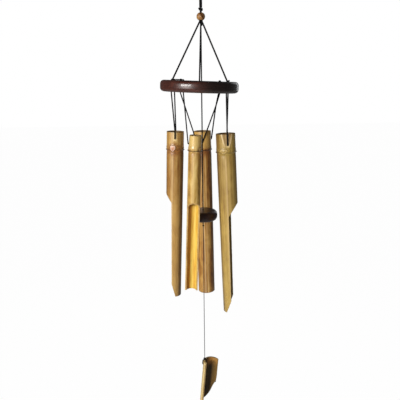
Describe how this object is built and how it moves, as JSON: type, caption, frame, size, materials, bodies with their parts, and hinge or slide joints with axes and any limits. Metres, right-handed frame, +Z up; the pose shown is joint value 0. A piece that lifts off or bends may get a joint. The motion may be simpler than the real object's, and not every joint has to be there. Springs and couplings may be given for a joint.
{
  "type": "wind chime",
  "caption": "Hanging wind chime: bamboo tubes slung from a wooden ring on cords, with a wooden clapper and a bamboo wind catcher.",
  "frame": {"origin": "bearing point of the hanging loop: the underside of the top of the loop, where the hook carries it", "axes": "+Z up, +X to the right as seen from the front, +Y to the back"},
  "size_m": [0.1272, 0.127, 0.7734],
  "materials": {
    "bamboo": "satin golden-brown bamboo skin",
    "bamboo_dark": "satin bamboo, olive-brown on the hollow side",
    "dark_wood": "glossy dark mahogany lacquer",
    "light_wood": "satin varnish",
    "cord": "matt black braided cord",
    "thin_cord": "thin twisted cord"
  },
  "bodies": {
    "hanging_loop": {"hanging_loop": "cord"},
    "loop_knot": {"loop_knot": "cord"},
    "bead": {"bead": "light_wood", "cords_in_bead": "cord"},
    "ring": {"ring": "dark_wood", "suspension_cord_back": "cord", "suspension_cord_left": "cord", "suspension_cord_right": "cord", "suspension_knot_back": "cord", "suspension_knot_left": "cord", "suspension_knot_right": "cord", "sling_bridge_left": "cord", "sling_bridge_front": "cord", "sling_bridge_right": "cord", "sling_bridge_back": "cord"},
    "sling_left": {"sling_left": "cord"},
    "tube_left": {"tube_left": "bamboo"},
    "sling_front": {"sling_front": "cord"},
    "tube_front": {"tube_front": "bamboo"},
    "sling_right": {"sling_right": "cord"},
    "tube_right": {"tube_right": "bamboo"},
    "sling_back": {"sling_back": "cord"},
    "tube_back": {"tube_back": "bamboo"},
    "clapper_cord_link": {"clapper_cord_link": "cord"},
    "clapper_cord": {"clapper_cord": "cord", "clapper_stop_knot": "cord"},
    "clapper": {"clapper": "dark_wood"},
    "tail_tie_knot": {"tail_tie_knot": "cord"},
    "tail_cord": {"tail_cord": "thin_cord", "tail_end_knot": "cord"},
    "sail_eye": {"sail_eye": "cord"},
    "sail": {"sail": "bamboo_dark"}
  },
  "joints": [
    {"name": "chime_twist", "type": "hinge", "parent": "hanging_loop", "child": "loop_knot", "pos_m": [0, 0, -0.0644], "axis": [0, 0, 1], "range_deg": [-90, 90]},
    {"name": "chime_swing_fore_aft", "type": "hinge", "parent": "loop_knot", "child": "bead", "pos_m": [0, 0, -0.0715], "axis": [1, 0, 0], "range_deg": [-12, 12]},
    {"name": "chime_swing_side", "type": "hinge", "parent": "bead", "child": "ring", "pos_m": [0, 0, -0.08595], "axis": [0, 1, 0], "range_deg": [-12, 12]},
    {"name": "sling_left_swing", "type": "hinge", "parent": "ring", "child": "sling_left", "pos_m": [-0.04822, 0.02829, -0.19292], "axis": [-0.5383, -0.8425, 0.0235], "range_deg": [-22, 4.7]},
    {"name": "tube_left_rock", "type": "hinge", "parent": "sling_left", "child": "tube_left", "pos_m": [-0.04612, 0.03002, -0.27059], "axis": [0, -1, -0.002], "range_deg": [-10, 3]},
    {"name": "sling_front_swing", "type": "hinge", "parent": "ring", "child": "sling_front", "pos_m": [-0.03057, -0.04528, -0.19369], "axis": [0.8617, -0.506, -0.0376], "range_deg": [-22, 3]},
    {"name": "tube_front_rock", "type": "hinge", "parent": "sling_front", "child": "tube_front", "pos_m": [-0.01806, -0.04037, -0.27155], "axis": [-0.4995, -0.866, 0.025], "range_deg": [-3, 6]},
    {"name": "sling_right_swing", "type": "hinge", "parent": "ring", "child": "sling_right", "pos_m": [0.03971, -0.02898, -0.19676], "axis": [-0.5514, -0.8339, 0.0241], "range_deg": [-3.2, 22]},
    {"name": "tube_right_rock", "type": "hinge", "parent": "sling_right", "child": "tube_right", "pos_m": [0.04031, -0.03015, -0.27498], "axis": [-0.0436, -0.999, 0.0002], "range_deg": [-2.4, 10]},
    {"name": "sling_back_swing", "type": "hinge", "parent": "ring", "child": "sling_back", "pos_m": [0.03024, 0.03974, -0.19635], "axis": [0.7563, -0.6534, -0.033], "range_deg": [-1.8, 22]},
    {"name": "tube_back_rock", "type": "hinge", "parent": "sling_back", "child": "tube_back", "pos_m": [0.00817, 0.03783, -0.27753], "axis": [-0.667, -0.7177, -0.2], "range_deg": [-0.8, 3]},
    {"name": "clapper_swing_side", "type": "hinge", "parent": "ring", "child": "clapper_cord_link", "pos_m": [0, 0, -0.08585], "axis": [0, -1, 0], "range_deg": [-3.9, 2.7]},
    {"name": "clapper_swing_fore_aft", "type": "hinge", "parent": "clapper_cord_link", "child": "clapper_cord", "pos_m": [0, 0, -0.0941], "axis": [1, 0, 0], "range_deg": [-2.3, 0.95]},
    {"name": "clapper_spin", "type": "hinge", "parent": "clapper_cord", "child": "clapper", "pos_m": [0, 0, -0.3929], "axis": [0, 0, 1], "continuous": true},
    {"name": "tail_swing_side", "type": "hinge", "parent": "clapper_cord", "child": "tail_tie_knot", "pos_m": [0, 0, -0.41986], "axis": [0, -1, 0], "range_deg": [-30, 30]},
    {"name": "tail_swing_fore_aft", "type": "hinge", "parent": "tail_tie_knot", "child": "tail_cord", "pos_m": [0, 0, -0.42236], "axis": [1, 0, 0], "range_deg": [-30, 11]},
    {"name": "sail_spin", "type": "hinge", "parent": "tail_cord", "child": "sail_eye", "pos_m": [0, 0, -0.6796], "axis": [0, 0, 1], "continuous": true},
    {"name": "sail_tilt", "type": "hinge", "parent": "sail_eye", "child": "sail", "pos_m": [-0.00149, 0.00049, -0.69106], "axis": [-0.9956, 0.0349, 0.0871], "range_deg": [-12, 12]}
  ]
}
